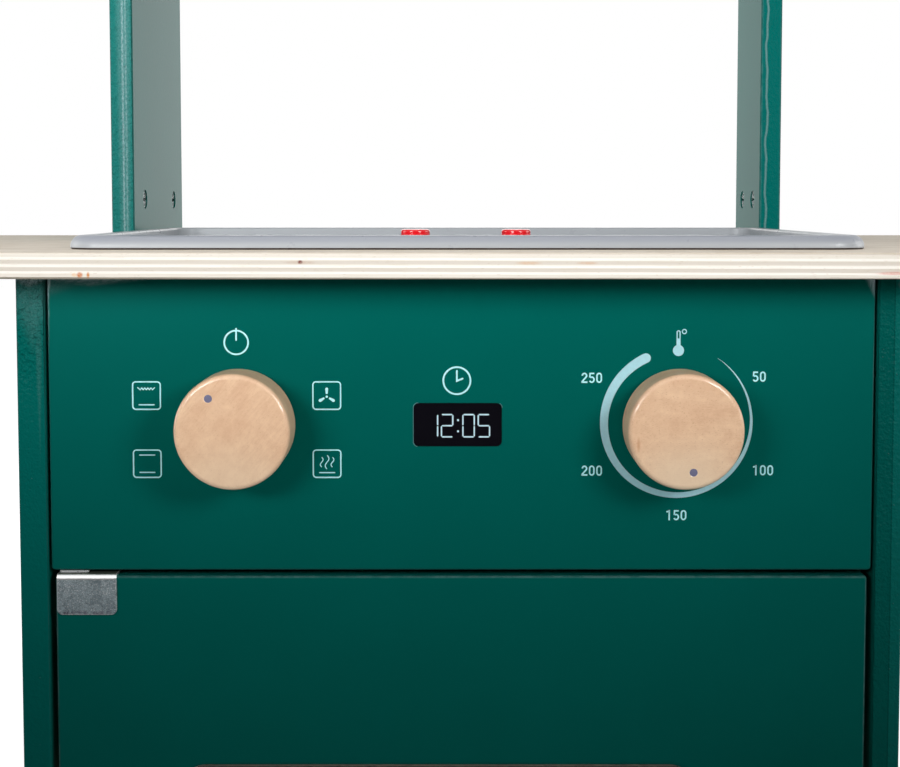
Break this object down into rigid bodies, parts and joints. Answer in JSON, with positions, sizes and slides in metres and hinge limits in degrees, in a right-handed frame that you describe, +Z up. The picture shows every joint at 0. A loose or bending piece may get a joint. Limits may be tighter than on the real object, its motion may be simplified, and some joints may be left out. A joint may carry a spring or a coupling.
{
  "type": "toy kitchen oven",
  "caption": "Toy kitchen oven cabinet with a side-hinged door, control panel with two turning dials, plywood worktop with a play hob and push buttons, and posts that carry a shelf.",
  "frame": {"origin": "centre of the bounding box in plan, on the floor under the glides", "axes": "+X to the right as seen from the front, +Y from the front to the back, +Z up"},
  "size_m": [0.58, 0.325, 0.652],
  "materials": {
    "painted_board": "satin green paint on MDF",
    "raw_board": "bare board",
    "plywood": "clear matt lacquer",
    "beech": "clear matt lacquer",
    "grey_plastic": "fine texture",
    "red_plastic": "gloss",
    "dark_plastic": "gloss",
    "white_plastic": "matt",
    "acrylic": "clear acrylic",
    "zinc_steel": "zinc plated",
    "cast_zinc": "die cast",
    "brass": "turned",
    "magnet_steel": "ground",
    "felt": "pressed felt",
    "circuit_green": "solder mask"
  },
  "bodies": {
    "carcass": {"left_side_panel": "painted_board", "right_side_panel": "painted_board", "base_panel": "painted_board", "oven_ceiling": "painted_board", "plinth_board": "painted_board", "back_panel": "raw_board", "front_rail": "raw_board", "back_rail": "raw_board", "panel_battens": "beech", "control_panel": "painted_board", "display_plate": "dark_plastic", "worktop": "plywood", "left_post": "painted_board", "right_post": "painted_board", "top_shelf": "painted_board", "cam_locks": "cast_zinc", "cam_bolts": "zinc_steel", "hob_tray": "grey_plastic", "hob_housing": "grey_plastic", "battery_hatch": "grey_plastic", "battery_cells": "zinc_steel", "circuit_board": "circuit_green", "button_switches": "dark_plastic", "hob_screws": "zinc_steel", "cabinet_screws": "zinc_steel", "rail_screws": "zinc_steel", "back_panel_screws": "zinc_steel", "glides": "white_plastic", "pivot_plates": "zinc_steel", "plate_screws": "zinc_steel", "catch_body": "white_plastic", "catch_magnet": "magnet_steel", "rack_rails": "beech", "rack_rods": "beech", "rack_screws": "zinc_steel", "dial_bushes": "white_plastic"},
    "door": {"door_panel": "painted_board", "window_pane": "acrylic", "door_screws": "zinc_steel", "upper_clip": "zinc_steel", "lower_clip": "zinc_steel", "pivot_pins": "zinc_steel", "strike_plate": "zinc_steel", "handle_bar": "beech", "handle_spacers": "beech", "handle_screws": "zinc_steel"},
    "left_knob": {"left_dial": "beech", "left_dial_insert": "brass", "left_dial_felt": "felt", "left_dial_washers": "zinc_steel", "left_dial_screw": "zinc_steel"},
    "right_knob": {"right_dial": "beech", "right_dial_insert": "brass", "right_dial_felt": "felt", "right_dial_washers": "zinc_steel", "right_dial_screw": "zinc_steel"},
    "left_push": {"left_button": "red_plastic", "left_button_spring": "zinc_steel"},
    "right_push": {"right_button": "red_plastic", "right_button_spring": "zinc_steel"}
  },
  "joints": [
    {"name": "door_hinge", "type": "hinge", "parent": "carcass", "child": "door", "pos_m": [-0.1626, -0.1315, 0.17888], "axis": [0, 0, -1], "range_deg": [0, 110]},
    {"name": "left_dial_turn", "type": "hinge", "parent": "carcass", "child": "left_knob", "pos_m": [-0.0926, -0.1475, 0.3675], "axis": [0, -1, 0], "continuous": true},
    {"name": "right_dial_turn", "type": "hinge", "parent": "carcass", "child": "right_knob", "pos_m": [0.0906, -0.1475, 0.3675], "axis": [0, -1, 0], "continuous": true},
    {"name": "left_button_press", "type": "slide", "parent": "carcass", "child": "left_push", "axis": [0, 0, -1], "range_m": [0, 0.0015], "stiffness_N_per_m": 300, "deforming": ["left_button_spring"]},
    {"name": "right_button_press", "type": "slide", "parent": "carcass", "child": "right_push", "axis": [0, 0, -1], "range_m": [0, 0.0015], "stiffness_N_per_m": 300, "deforming": ["right_button_spring"]}
  ]
}
